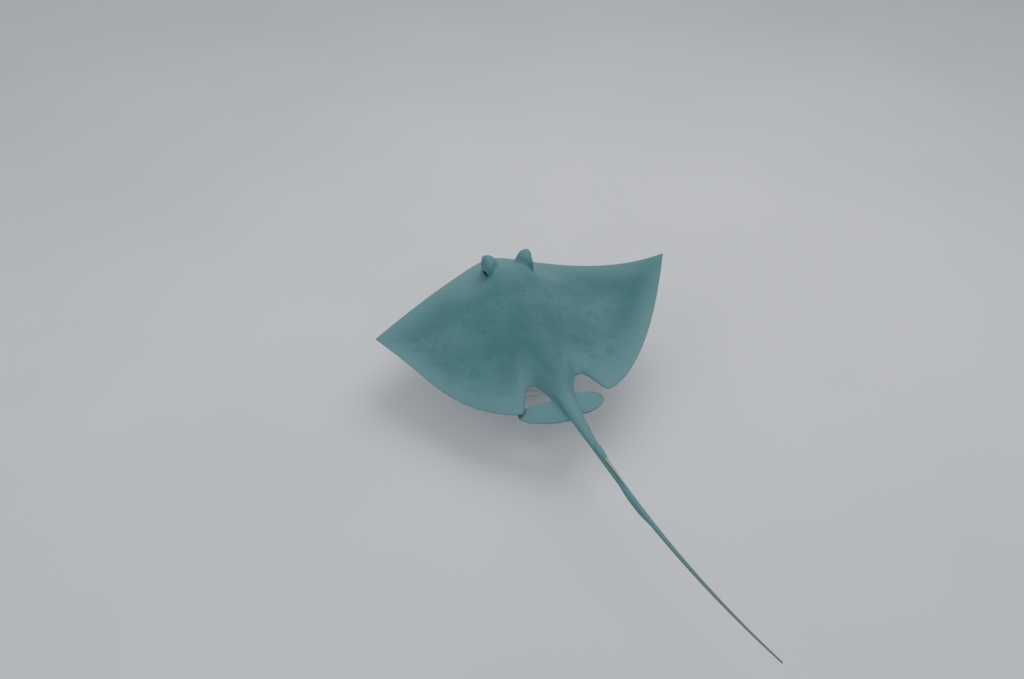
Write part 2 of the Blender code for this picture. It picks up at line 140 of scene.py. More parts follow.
# Tail: one Bezier curve, its widths, the fold under it and the sting on it.
TAIL_CURVE = (
    (0.000, -0.300, 0.012),
    (-0.017, -0.659, 0.036),
    (0.064, -1.146, -0.040),
    (0.271, -1.591, -0.097),
)
TAIL_TIP_HALF = 0.0032
TAIL_STEM_HALF = 0.0165
TAIL_TAPER = 1.15
TAIL_FLARE = 0.020                # the broader root between the pelvic fins
TAIL_FLARE_END = 0.30
TAIL_FLARE_POWER = 4.0            # how soon the flare ends
TAIL_FLARE_HEIGHT = 0.42          # part of the flare that adds to the height
FOLD_START = 0.44
FOLD_END = 0.655
FOLD_DEPTH = 0.020
FOLD_LEAST = 0.0012
FOLD_HALF = 0.0020
FOLD_FRONT_RUN = 0.50             # parts of the fold's length over which it deepens ...
FOLD_REAR_RUN = 0.40              # ... and runs out
STING_START = 0.405
STING_END = 0.520
STING_HALF = 0.0050
STING_TIP_HALF = 0.0008
STING_THICK = 0.0022
STING_TIP_THICK = 0.35            # part of the thickness kept at the tip
STING_TAPER = 2.2
STING_RISE = 0.006

# ---- Sizes of the visual model's own detail ----

LEVEL = (0.0, 0.0, MARGIN_HEIGHT)  # from the floor up to the level margin
UP = (0.0, 0.0, 1.0)

# Sections along each lofted shape, and points round it.
DISC_LOFT = (400, 260)
TAIL_LOFT = (420, 40)
FOLD_LOFT = (120, 24)
SHEATH_LOFT = (50, 32)
PELVIC_LOFT = (70, 56)
BROW_LOFT = (70, 80)
EYE_LOFT = (60, 72)
STING_LOFT = (272, 32)

# The skin's mesh, and how it is evened out where the lofts meet.
VOXEL = 0.0020
MOST_TRIANGLES = 190000
RIM_FULLNESS = 0.5                # of the pelvic fins and the fold: 1 is an ellipse
RELAX_STEP = 0.50                 # part of the way that a point goes to its neighbours' mean ...
RELAX_SWELL = 0.52                # ... and back out again, where the size is kept
EVEN_ROUNDS = 4
DETAIL_ROUNDS = 2
BROW_ROUNDS = 320
TAIL_ROUNDS = 70

# Most pairs below are ramps: the place where one starts or ends, and the length of its slope.
BROW_FOOT_ABOVE = (0.0, 0.012)
BROW_FOOT_INNER_SIDE = (BROW_CENTRE[0] + 0.010, 0.030)
BROW_FOOT_START = (0.95, 0.55)    # on the outer and the inner side, in the brow's half widths
BROW_FOOT_SLOPE = 0.35
BROW_FOOT_END = (2.8, 1.0)
JOINT_PART = 0.40                 # of the tail's length, looked at in steps
JOINT_STEPS = 60
JOINT_REAR = (-0.68, 0.08)
JOINT_FRONT = (-0.36, 0.06)
JOINT_SIDE = (0.062, 0.026)
FOLD_ROOT = 0.2                   # of the tail's half height, where the fold starts inside it
FOLD_STEPS = 81
FOLD_END_SLOPE = 0.008
FOLD_SIDE = (0.0060, 0.0020)
FOLD_RIM_HEIGHT = 0.0060
FOLD_RIM_SLOPE = 0.0025
FOLD_FACING_DOWN = (0.30, 0.30)
MARGIN_RIM = (0.30, 0.12)         # in parts of the half thickness
MARGIN_SHIFT = (0.006, 0.002)     # points that are further off stay where they are
MARGIN_TIP = (0.985, 0.02)        # in parts of the half width, as are the next two
MARGIN_LOBE_GAP = 0.015           # beyond the rear lobe
MARGIN_LOBE_SLOPE = 0.03

# Eyes and lids.
EYE_GAZE = (0.87, 0.286, 0.40)
CORNEA_RISE = 0.0008
CORNEA_EDGE = (0.72, 0.34)        # in radians from the gaze
PUPIL_HALVES = (0.36, 0.24)       # half width and height, in the eye's radius
FLAP_HALVES = (0.24, 0.24)        # of the flap that hangs into the pupil
FLAP_HEIGHT = 0.19
LID_HEIGHT = 0.0026
LID_WIDTH = 0.0030
LID_AWAY = 0.0016                 # of its crest from the eyeball
LID_UPPER = 0.7                   # how much higher the upper lid stands
LID_UPPER_START = -0.2            # above the eye's middle, in its radius
LID_REACH = 0.011                 # beyond the eyeball
FURROW_DEPTH = 0.0010
FURROW_AWAY = 0.0085
FURROW_WIDTH = 0.0026

# Spiracles, behind the eyes.
SPIRACLE_PLACE = (0.104, 0.210, 0.104)  # above the level margin
SPIRACLE_OUTWARD = (0.93, -0.36, 0.12)
SPIRACLE_HALF_LENGTH = 0.0200
SPIRACLE_HALF_HEIGHT = 0.0110
SPIRACLE_DEPTH = 0.018
SPIRACLE_BEND = 0.25
SPIRACLE_NEAR = (0.040, 0.010)
SPIRACLE_EDGE = (1.05, 0.32)      # in its half widths, as are the next two
SPIRACLE_RIM_REACH = 1.22
SPIRACLE_RIM_WIDTH = 0.20
SPIRACLE_RIM = 0.0016

# Openings of the underside. A section is a slit's half width, its depth and its lips' height.
SLIT_REACH = 1.15                 # half width at the surface, over the section's
SLIT_SLOPE = 0.9
LIP_AWAY = 0.0024
LIP_WIDTH = 0.0022
MOUTH_Y = 0.318
MOUTH_HALF = 0.040
MOUTH_BOW = 0.011
MOUTH_SECTION = (0.0032, 0.009, 0.0028)
NOSTRIL_PLACE = (0.0405, MOUTH_Y + 0.023)
NOSTRIL_TURN = math.radians(-62)
NOSTRIL_HALF = 0.0110
NOSTRIL_SECTION = (0.0030, 0.008, 0.0016)
GILLS = (                         # x, y and half length of each slit
    (0.100, 0.222, 0.0160),
    (0.100, 0.194, 0.0170),
    (0.097, 0.166, 0.0170),
    (0.091, 0.139, 0.0155),
    (0.083, 0.114, 0.0120),
)
GILL_TURN = math.radians(-22)
GILL_SECTION = (0.0015, 0.006, 0.0012)
GILL_BOW = -0.002
VENT_Y = -0.468
VENT_HALF = 0.017
VENT_SECTION = (0.0030, 0.006, 0.0020)
CURTAIN_HEIGHT = 0.0042           # of the nasal curtain ahead of the mouth
CURTAIN_SIDE = (0.033, 0.006)
CURTAIN_REAR = (0.0022, 0.0016)
CURTAIN_FRONT = (0.040, 0.026)
JAW_HEIGHT = 0.0024
JAW_HALF_WIDTH = 0.030
JAW_HALF_LENGTH = 0.010
JAW_BEHIND = 0.016

# The back. A thorn is its y and its radius.
THORNS = ((0.062, 0.0034), (0.040, 0.0044), (0.016, 0.0036))
THORN_HEIGHT = 0.75               # of its radius
RIDGE_HEIGHT = 0.0012
RIDGE_WIDTH = 0.022
RIDGE_REAR = (-0.42, 0.14)
RIDGE_FRONT = (0.20, 0.14)

# The spine and the skin over its root.
SHEATH_START = 0.372
SHEATH_END = 0.432
SHEATH_WIDTH = 0.86               # of the tail's own half width
SHEATH_FOOT = 0.3                 # of the tail's own half height, as is the rise
SHEATH_RISE = 1.40
SHEATH_ROUNDING = 4
STING_LIFT = 0.0003
BARBS = 34.0
BARB_DEPTH = 0.24                 # of the half width
BARB_SHARPNESS = 6
BARB_START = (0.22, 0.12)
GROOVE_DEPTH = 0.35
GROOVE_WIDTH = 0.35

# Boxes about the finer details: x, y, reach in x, reach in y, and whether the box is on the belly.
DETAIL_BOXES = {
    "spiracle": (SPIRACLE_PLACE[0], SPIRACLE_PLACE[1], 0.032, 0.036, False),
    "mouth": (0.0, MOUTH_Y + 0.010, 0.058, 0.032, True),
    "gills": (0.093, 0.168, 0.030, 0.070, True),
    "vent": (0.0, VENT_Y, 0.012, 0.024, True),
    "thorns": (0.0, 0.032, 0.008, 0.054, False),
}
FINEST_DETAILS = ("thorns", "mouth", "gills")

# Where the skin's colours change.
BELLY_FACING = (-0.02, 0.30)      # upward part of the surface's direction
BELLY_SLOPE = 0.010               # halfway at the margin itself
BELLY_REAR = (-0.74, 0.12)
DENTICLE_WIDTH = 0.075
DENTICLE_FRONT = (0.27, 0.10)
DENTICLE_REAR = (-0.60, 0.20)
HEAD_REAR = (0.06, 0.18)
HEAD_SIDE = (0.34, 0.18)
WHIP_FRONT = (-0.95, 0.35)
THORN_TIP = (0.0, 0.002)

# Studio. The lamps are discs: name, place, size, power and tint.
CAMERA_PLACE = (-0.817, -2.597, 2.354)
CAMERA_TILT = 0.682               # in radians below the horizon
CAMERA_TURN = -0.287              # and from straight ahead
CAMERA_LENS = 29.88
CAMERA_SENSOR = 36.0
CAMERA_FAR = 100.0
LAMPS = (
    ("key", (1.2, 1.0, 4.0), 3.6, 120.0, (1.0, 0.98, 0.94)),
    ("fill", (-3.4, -1.2, 3.0), 3.5, 35.0, (0.92, 0.97, 1.0)),
)
LAMP_AIM = (0.0, -0.1, MARGIN_HEIGHT)
SKY_TINT = (0.86, 0.93, 1.0, 1.0)
SKY_STRENGTH = 0.78
FLOOR_HALF = 30.0
FLOOR_GAP = 0.0005                # below the stand


def smooth(value):
    value = np.clip(value, 0.0, 1.0)
    return value * value * (3.0 - 2.0 * value)


def ramp(value, start, slope):
    """0 up to the start, and from there up the slope to 1."""
    return smooth((value - start) / slope)


def fade(value, end, slope):
    """1 up to the slope, which comes down to 0 at the end."""
    return smooth((end - value) / slope)


def mix(start, end, part):
    return start + (end - start) * part


def bump(value, width):
    return np.exp(-(value / width) ** 2)


def blunt(value):
    """A sine or cosine filled out, so that a thin loft has a rounded rim and not a sharp one."""
    return np.sign(value) * np.abs(value) ** RIM_FULLNESS


# ---- The lofted shapes of the part ----

def front_margin(span):
    """y of the front margin at a span from 0 at the middle to 1 at the wing tip."""
    rounded = np.hypot(span, SNOUT_ROUNDING) - SNOUT_ROUNDING
    reach = rounded / (math.hypot(1.0, SNOUT_ROUNDING) - SNOUT_ROUNDING)
    return SNOUT_Y - (SNOUT_Y - WING_TIP_Y) * reach ** FRONT_BOW


def rear_margin(span):
    """y of the rear margin: from the tip to the rear lobe, into the notch, and out to the tail."""
    wing = np.clip((span - REAR_LOBE_SPAN) / (1.0 - REAR_LOBE_SPAN), 0.0, 1.0)
    wing = mix(WING_TIP_Y, REAR_LOBE_Y, 1.0 - wing ** REAR_BOW)
    notch = smooth((span - NOTCH_SPAN) / (REAR_LOBE_SPAN - NOTCH_SPAN))
    notch = mix(NOTCH_Y, REAR_LOBE_Y, notch)
    wedge = mix(TAIL_ROOT_Y, NOTCH_Y, smooth(span / WEDGE_SPAN))
    return np.where(span >= REAR_LOBE_SPAN, wing, np.where(span >= WEDGE_SPAN, notch, wedge))


def margin_lift(x, y):
    """How far the disc's middle surface stands over the level margin."""
    span = np.minimum(np.abs(x) / HALF_WIDTH, 1.0)
    right = RIGHT_LIFT * span ** RIGHT_LIFT_POWER
    left = LEFT_LIFT * span ** LEFT_LIFT_POWER
    lobe = smooth((LOBE_LIFT_FRONT_Y - y) / LOBE_LIFT_RUN) * smooth(np.abs(x) / LOBE_LIFT_HALF_WIDTH)
    right = right + LOBE_LIFT_RIGHT * lobe
    left = left + LOBE_LIFT_LEFT * lobe
    reach = np.maximum((span - REAR_LOBE_SPAN) / (1.0 - REAR_LOBE_SPAN), 0.0)
    wave = np.sin(math.pi * reach) ** 2 * smooth((WAVE_FRONT_Y - y) / WAVE_RUN)
    right = right + WAVE_LIFT_RIGHT * wave
    left = left + WAVE_LIFT_LEFT * wave
    return np.where(x > 0, right, left) - SNOUT_DROOP * smooth(y / SNOUT_Y) * (1.0 - span)


def back_height(x, y):
    """Height of the rounded back over the wings' own thickness."""
    rise = smooth((SNOUT_Y - y) / (SNOUT_Y - BACK_FRONT_Y))
    rearward = smooth((BACK_REAR_Y - y) / (BACK_REAR_Y - REAR_LOBE_Y))
    headward = smooth((y - BACK_FRONT_Y) / BACK_HEAD_RUN)
    fall = 1.0 - BACK_REAR_LOSS * rearward
    width = BACK_HALF_WIDTH * mix(1.0, BACK_REAR_WIDTH, rearward) * mix(1.0, BACK_HEAD_WIDTH, headward)
    return BACK_HEIGHT * rise * fall * np.exp(-(np.abs(x) / width) ** BACK_ROUNDING)


def crown_height(x, y):
    """Height of the flat-topped skull over the rounded back."""
    length = smooth((CROWN_FRONT_Y - y) / CROWN_FRONT_RUN) * smooth((y - CROWN_REAR_Y) / CROWN_REAR_RUN)
    return CROWN_HEIGHT * length * np.exp(-(np.abs(x) / CROWN_HALF_WIDTH) ** CROWN_ROUNDING)


def belly_depth(x, y):
    length = smooth((SNOUT_Y - y) / BELLY_FRONT_RUN) * smooth((y - NOTCH_Y) / BELLY_REAR_RUN)
    return BELLY_DEPTH * length * np.exp(-(x / BELLY_HALF_WIDTH) ** 2)


def disc_point(along, around):
    """Points of the disc: along runs from tip to tip, around goes over the top and back below."""
    x = HALF_WIDTH * along * mix(SECTION_SPACING, 1.0, along * along) + 0.0 * around
    span = np.abs(x) / HALF_WIDTH
    chord = (1.0 - np.cos(around)) / 2.0
    y = mix(front_margin(span), rear_margin(span), chord)
    rim = np.abs(np.sin(around))
    thin = (1.0 - span ** WING_THINNING) * (1.0 - REAR_THINNING * chord)
    top = rim ** EDGE_FULLNESS * (WING_TOP * thin + EDGE_HALF)
    top = top + (back_height(x, y) + crown_height(x, y)) * smooth(rim * BACK_EASE)
    bottom = -rim * (WING_BOTTOM * thin + EDGE_HALF + belly_depth(x, y))
    z = MARGIN_HEIGHT + margin_lift(x, y) + np.where(around > 0, top, bottom)
    return np.stack([x, y, z], -1)


def pelvic_point(side, along, around):
    """Points of a pelvic fin: a small rounded triangle beside the root of the tail."""
    tip_x, tip_y, droop, set_back = PELVIC_LEFT if side < 0 else PELVIC_RIGHT
    span = np.clip((along + 1.0) / 2.0, 0.0, 1.0) + 0.0 * around
    half_chord = PELVIC_CHORD / 2.0 * np.sqrt(1.0 - span ** PELVIC_ROUNDING)
    y = mix(PELVIC_ROOT_Y - set_back, tip_y, span) + half_chord * np.cos(around)
    half = PELVIC_HALF * (1.0 - PELVIC_THINNING * span)
    z = MARGIN_HEIGHT + PELVIC_Z - droop * span + half * blunt(np.sin(around))
    return np.stack([side * mix(PELVIC_ROOT_X, tip_x, span), y, z], -1)


def brow_point(side, along, around):
    """Points of a brow: peaked, steep on its outer side, with a foot that spreads into the back."""
    rise = np.sin(along * math.pi / 2.0)
    ring = np.maximum(np.cos(along * math.pi / 2.0), 0.0)
    ring = np.where(rise > 0.0, ring ** BROW_PEAK, ring)
    foot = smooth(-rise)
    spread = ring * (1.0 + BROW_SPREAD * foot)
    half_width = mix(BROW_INNER, BROW_OUTER, smooth((side * np.cos(around) + 1.0) / 2.0))
    across = half_width * spread * np.cos(around)
    forward = BROW_HALF_LENGTH * spread * np.sin(around)
    z = BROW_CENTRE[2] + BROW_HEIGHT * rise - BROW_LEAN * foot * (forward + side * across)
    return np.stack([side * BROW_CENTRE[0] + across, BROW_CENTRE[1] + forward, MARGIN_HEIGHT + z], -1)


def tail_frame(part):
    """Centre, sideways and upwards vectors of the tail at parts of its length."""
    a, b, c, d = np.array(TAIL_CURVE)
    part = np.asarray(part, float)[..., None]
    rest = 1.0 - part
    centre = a * rest ** 3 + b * 3 * rest ** 2 * part + c * 3 * rest * part ** 2 + d * part ** 3
    along = (b - a) * rest ** 2 + (c - b) * 2 * rest * part + (d - c) * part ** 2
    along = along / np.linalg.norm(along, axis=-1, keepdims=True)
    side = np.cross(along, UP)
    side = side / np.linalg.norm(side, axis=-1, keepdims=True)
    return centre + LEVEL, side, np.cross(side, along)


def tail_halves(part):
    """Half width and half height of the tail."""
    flare = TAIL_FLARE * np.exp(-(part / TAIL_FLARE_END) ** TAIL_FLARE_POWER)
    stem = TAIL_TIP_HALF + TAIL_STEM_HALF * (1.0 - part) ** TAIL_TAPER
    return stem + flare, stem + TAIL_FLARE_HEIGHT * flare


def along_tail(part, sideways, upwards):
    """Points beside and above the tail's middle line."""
    centre, side, up = tail_frame(part)
    return centre + side * np.asarray(sideways)[..., None] + up * np.asarray(upwards)[..., None]


def tail_point(along, around):
    part = (along + 1.0) / 2.0 + 0.0 * around
    half_width, half_height = tail_halves(part)
    return along_tail(part, half_width * np.cos(around), half_height * np.sin(around))


def fold_depth(run):
    """How far below the tail's middle the fold starts and ends, along its length."""
    top = tail_halves(mix(FOLD_START, FOLD_END, run))[1]
    depth = FOLD_DEPTH * smooth(run / FOLD_FRONT_RUN) * smooth((1.0 - run) / FOLD_REAR_RUN)
    return top, top + depth + FOLD_LEAST


def fold_point(along, around):
    """The fold under the tail, run up into the tail so that the skin closes over both."""
    run = (along + 1.0) / 2.0 + 0.0 * around
    part = mix(FOLD_START, FOLD_END, run)
    top, bottom = fold_depth(run)
    drop = mix(FOLD_ROOT * top, bottom, (1.0 - np.sin(around)) / 2.0)
    return along_tail(part, FOLD_HALF * blunt(np.cos(around)), -drop)


def sheath_point(along, around):
    """The skin that covers the root of the spine."""
    run = (along + 1.0) / 2.0 + 0.0 * around
    part = mix(SHEATH_START, SHEATH_END, run)
    round_off = np.sqrt(np.clip(1.0 - np.abs(along) ** SHEATH_ROUNDING, 0.0, 1.0)) + 0.0 * around
    half_width, half_height = tail_halves(part)
    upwards = half_height * (SHEATH_FOOT + SHEATH_RISE * (0.5 + 0.5 * np.sin(around)) * round_off)
    return along_tail(part, SHEATH_WIDTH * half_width * round_off * np.cos(around), upwards)


def sting_point(along, around):
    """The spine: a flat blade with a groove on top and barbs that point back to the tail's root."""
    run = (along + 1.0) / 2.0 + 0.0 * around
    part = mix(STING_START, STING_END, run)
    taper = 1.0 - run ** STING_TAPER
    lift = tail_halves(part)[1] + STING_LIFT + STING_THICK + STING_RISE * run
    edge = np.abs(np.cos(around)) ** BARB_SHARPNESS
    barb = np.mod(run * BARBS, 1.0) * edge * ramp(run, *BARB_START)
    half_width = (STING_HALF * taper + STING_TIP_HALF) * (1.0 - BARB_DEPTH * barb)
    half_height = STING_THICK * mix(STING_TIP_THICK, 1.0, taper)
    groove = GROOVE_DEPTH * bump(np.cos(around), GROOVE_WIDTH) * (np.sin(around) > 0)
    upwards = lift + half_height * np.sin(around) * (1.0 - groove)
    return along_tail(part, half_width * np.cos(around), upwards)


def eye_centre(side):
    return (side * EYE_CENTRE[0], EYE_CENTRE[1], EYE_CENTRE[2] + MARGIN_HEIGHT)


def eye_axes(side):
    """Unit vectors of one eye: the way it looks, its level and its upright."""
    gaze = Vector((side * EYE_GAZE[0], EYE_GAZE[1], EYE_GAZE[2])).normalized()
    level = Vector((-gaze.y, gaze.x, 0.0)).normalized() * side
    upright = gaze.cross(level) * side
    return gaze, level, upright


def eye_point(side, along, around):
    """An eyeball about its gaze, with a cornea that stands a little out of the ball."""
    gaze, level, upright = (np.array(axis) for axis in eye_axes(side))
    tilt = (1.0 - along) * math.pi / 2.0 + 0.0 * around
    radius = EYE_RADIUS - CORNEA_RISE + CORNEA_RISE * fade(tilt, *CORNEA_EDGE)
    ring = np.cos(around)[..., None] * level + np.sin(around)[..., None] * upright
    direction = np.cos(tilt)[..., None] * gaze + np.sin(tilt)[..., None] * ring
    return np.array(eye_centre(side)) + radius[..., None] * direction


# ---- Meshes from arrays ----

def loft(place, rings, sides):
    """Points and faces of a closed loft, whose two ends are single points."""
    along = np.linspace(-1.0, 1.0, rings + 1)[1:-1, None]
    around = np.linspace(-math.pi, math.pi, sides, endpoint=False)[None, :]
    body = place(along, around).reshape(-1, 3)
    ends = [place(np.array([[end]]), np.array([[0.0]])).reshape(1, 3) for end in (-1.0, 1.0)]
    points = np.vstack([body, ends[0], ends[1]])
    count = rings - 1
    row = np.arange(count - 1)[:, None] * sides
    here = np.arange(sides)[None, :]
    after = (here + 1) % sides
    quads = np.stack([row + here, row + after, row + sides + after, row + sides + here], -1)
    faces = [tuple(quad) for quad in quads.reshape(-1, 4).tolist()]
    first, last = len(body), len(body) + 1
    top = (count - 1) * sides
    for side in range(sides):
        follow = (side + 1) % sides
        faces.append((first, follow, side))
        faces.append((last, top + side, top + follow))
    return points, faces


def mesh_from(name, points, faces):
    """A mesh whose faces look outwards where it is closed."""
    mesh = bpy.data.meshes.new(name)
    mesh.from_pydata(points.tolist(), [], faces)
    shape = bmesh.new()
    shape.from_mesh(mesh)
    if shape.calc_volume(signed=True) < 0.0:
        bmesh.ops.reverse_faces(shape, faces=shape.faces)
        shape.to_mesh(mesh)
    shape.free()
    return mesh


def shown(name, data):
    """A new object in the scene."""
    item = bpy.data.objects.new(name, data)
    bpy.context.scene.collection.objects.link(item)
    return item


def with_modifier(item, kind, **settings):
    """The object's mesh with one modifier applied, as a new mesh in place of the old one."""
    step = item.modifiers.new(kind.lower(), kind)
    for key, value in settings.items():
        setattr(step, key, value)
    graph = bpy.context.evaluated_depsgraph_get()
    made = bpy.data.meshes.new_from_object(item.evaluated_get(graph))
    item.modifiers.clear()
    old = item.data
    item.data = made
    bpy.data.meshes.remove(old)
    return made


def vertex_values(mesh, field):
    found = np.empty(len(mesh.vertices) * 3)
    mesh.vertices.foreach_get(field, found)
    return found.reshape(-1, 3)


def points_of(mesh):
    return vertex_values(mesh, "co")


def normals_of(mesh):
    return vertex_values(mesh, "normal")


def move_points(mesh, points):
    mesh.vertices.foreach_set("co", points.ravel())
    mesh.update()


def edges_of(mesh):
    found = np.empty(len(mesh.edges) * 2, np.int32)
    mesh.edges.foreach_get("vertices", found)
    return found.reshape(-1, 2)


def averaged(points, edges, count):
    """The mean of each point's neighbours, whose number is its count."""
    total = np.empty_like(points)
    for axis in range(3):
        column = points[:, axis]
        total[:, axis] = np.bincount(edges[:, 0], column[edges[:, 1]], len(points))
        total[:, axis] += np.bincount(edges[:, 1], column[edges[:, 0]], len(points))
    return total / count[:, None]


def relax(mesh, rounds, weight, keep_size=False):
    """Evens out the surface where weight isn't 0. keep_size swells it back after each round."""
    points, edges = points_of(mesh), edges_of(mesh)
    count = np.maximum(np.bincount(edges.ravel(), minlength=len(points)), 1)
    part = np.asarray(weight, float)
    part = part[:, None] if part.ndim else part
    for _ in range(rounds):
        points += RELAX_STEP * part * (averaged(points, edges, count) - points)
        if keep_size:
            points -= RELAX_SWELL * part * (averaged(points, edges, count) - points)
    move_points(mesh, points)


# ---- The skin's detail, as heights over its surface ----

def brow_reach(points):
    """Distance from the nearer brow's axis, as a multiple of the brow's own half widths."""
    x = np.abs(points[:, 0]) - BROW_CENTRE[0]
    x = x / np.where(x > 0.0, BROW_OUTER, BROW_INNER)
    return np.hypot(x, (points[:, 1] - BROW_CENTRE[1]) / BROW_HALF_LENGTH)


def above_margin(points):
    """Height above the disc's middle surface."""
    x, y, z = points.T
    return z - MARGIN_HEIGHT - margin_lift(x, y)


def mirrored(points):
    """Points with the left side folded over onto the right."""
    return np.column_stack([np.abs(points[:, 0]), points[:, 1], points[:, 2]])


def lids(points):
    """Height of the lids and of the furrow round them."""
    away = mirrored(points) - eye_centre(1)
    distance = np.linalg.norm(away, axis=1)
    upper = smooth(away[:, 2] / EYE_RADIUS - LID_UPPER_START)
    ring = LID_HEIGHT * bump(distance - EYE_RADIUS - LID_AWAY, LID_WIDTH) * (1.0 + LID_UPPER * upper)
    furrow = -FURROW_DEPTH * bump(distance - EYE_RADIUS - FURROW_AWAY, FURROW_WIDTH)
    return ring + furrow


def spiracle(points):
    """Height and hollow of the opening behind each eye."""
    outward = np.array(SPIRACLE_OUTWARD) / np.linalg.norm(SPIRACLE_OUTWARD)
    length = np.cross(outward, UP)
    length = length / np.linalg.norm(length)
    height = np.cross(length, outward)
    away = mirrored(points) - SPIRACLE_PLACE - LEVEL
    u = away @ length / SPIRACLE_HALF_LENGTH
    v = away @ height / SPIRACLE_HALF_HEIGHT
    close = fade(np.abs(away @ outward), *SPIRACLE_NEAR)
    reach = np.hypot(u, v + SPIRACLE_BEND * u * u)
    hollow = fade(reach, *SPIRACLE_EDGE) * close
    rim = bump(reach - SPIRACLE_RIM_REACH, SPIRACLE_RIM_WIDTH) * close
    return -SPIRACLE_DEPTH * hollow + SPIRACLE_RIM * rim, hollow


def slit(points, place, turn, half_length, section, bow=0.0):
    """Height and hollow of a slit in the underside, with raised lips."""
    half_width, depth, lip = section
    x = points[:, 0] - place[0]
    y = points[:, 1] - place[1]
    u = x * math.cos(turn) + y * math.sin(turn)
    v = y * math.cos(turn) - x * math.sin(turn) + bow * (u / half_length) ** 2
    beyond = np.maximum(np.abs(u) - half_length + half_width, 0.0)
    distance = np.hypot(beyond, v)
    hollow = fade(distance, half_width * SLIT_REACH, half_width * SLIT_SLOPE)
    raised = bump(distance - half_width * SLIT_REACH - LIP_AWAY, LIP_WIDTH)
    return lip * raised - depth * hollow, hollow


def underside_detail(points):
    """Heights and hollows of mouth, nostrils, gill slits and vent, on the right side and its mirror."""
    folded = mirrored(points)
    below = (above_margin(points) < 0.0) * 1.0
    openings = [slit(folded, (0.0, MOUTH_Y), 0.0, MOUTH_HALF, MOUTH_SECTION, MOUTH_BOW)]
    openings.append(slit(folded, NOSTRIL_PLACE, NOSTRIL_TURN, NOSTRIL_HALF, NOSTRIL_SECTION))
    for x, y, half_length in GILLS:
        openings.append(slit(folded, (x, y), GILL_TURN, half_length, GILL_SECTION, GILL_BOW))
    openings.append(slit(folded, (0.0, VENT_Y), math.pi / 2, VENT_HALF, VENT_SECTION))
    height = sum(raised for raised, _ in openings)
    hollow = np.maximum.reduce([hole for _, hole in openings])
    x, y = folded[:, 0], folded[:, 1]
    ahead = y - MOUTH_Y + MOUTH_BOW * (x / MOUTH_HALF) ** 2
    curtain = fade(x, *CURTAIN_SIDE) * ramp(ahead, *CURTAIN_REAR) * fade(ahead, *CURTAIN_FRONT)
    jaw = bump(x, JAW_HALF_WIDTH) * bump(ahead + JAW_BEHIND, JAW_HALF_LENGTH)
    height = height + CURTAIN_HEIGHT * curtain + JAW_HEIGHT * jaw
    return height * below, hollow * below


def thorns(points):
    """Height of the pearl thorns on the middle of the back."""
    height = np.zeros(len(points))
    above = above_margin(points) > 0.0
    for y, radius in THORNS:
        reach = np.hypot(points[:, 0], points[:, 1] - y) / radius
        height += THORN_HEIGHT * radius * np.sqrt(np.clip(1.0 - reach * reach, 0.0, 1.0)) * above
    return height


def back_ridge(points):
    """Height of the soft ridge along the middle of the back."""
    x, y, _ = points.T
    along = ramp(y, *RIDGE_REAR) * fade(y, *RIDGE_FRONT) * (above_margin(points) > 0.0)
    return along * RIDGE_HEIGHT * bump(x, RIDGE_WIDTH)


def raise_detail(mesh):
    """Moves the surface out and in by all the heights above."""
    points, outward = points_of(mesh), normals_of(mesh)
    under, _ = underside_detail(points)
    hole, _ = spiracle(points)
    above = above_margin(points) > 0.0
    height = under + (hole + lids(points)) * above + thorns(points) + back_ridge(points)
    move_points(mesh, points + outward * height[:, None])


# ---- The skin as one mesh ----

def detail_places(points, names):
    """True in the boxes about the named details, on either side of the animal."""
    x, y, _ = mirrored(points).T
    below = above_margin(points) < 0.0
    found = np.zeros(len(points), bool)
    for name in names:
        middle_x, middle_y, reach_x, reach_y, on_belly = DETAIL_BOXES[name]
        inside = (np.abs(x - middle_x) < reach_x) & (np.abs(y - middle_y) < reach_y)
        found |= inside & (below == on_belly)
    return found


def fine_places(points):
    """True where the surface needs smaller faces."""
    at_eye = np.linalg.norm(mirrored(points) - eye_centre(1), axis=1) < EYE_RADIUS + LID_REACH
    return at_eye | detail_places(points, DETAIL_BOXES)


def cut_finer(mesh, places):
    """Splits the faces at the given vertices into four."""
    chosen = np.flatnonzero(places[edges_of(mesh)].any(axis=1))
    shape = bmesh.new()
    shape.from_mesh(mesh)
    shape.edges.ensure_lookup_table()
    edges = [shape.edges[index] for index in chosen]
    bmesh.ops.subdivide_edges(shape, edges=edges, cuts=1, use_grid_fill=True)
    shape.to_mesh(mesh)
    shape.free()
    mesh.update()


def brow_foot(points):
    """1 round the foot of each brow, where it runs out into the crown and the back."""
    above = ramp(above_margin(points), *BROW_FOOT_ABOVE)
    reach = brow_reach(points)
    inner = fade(np.abs(points[:, 0]), *BROW_FOOT_INNER_SIDE)
    start = mix(*BROW_FOOT_START, inner)
    return ramp(reach, start, BROW_FOOT_SLOPE) * fade(reach, *BROW_FOOT_END) * above


def tail_joint(points):
    """1 where the tail leaves the trunk and carries the pelvic fins."""
    x, y, _ = points.T
    centre, _, _ = tail_frame(np.linspace(0.0, JOINT_PART, JOINT_STEPS))
    off = np.abs(x - np.interp(-y, -centre[:, 1], centre[:, 0]))
    return ramp(y, *JOINT_REAR) * fade(y, *JOINT_FRONT) * fade(off, *JOINT_SIDE)


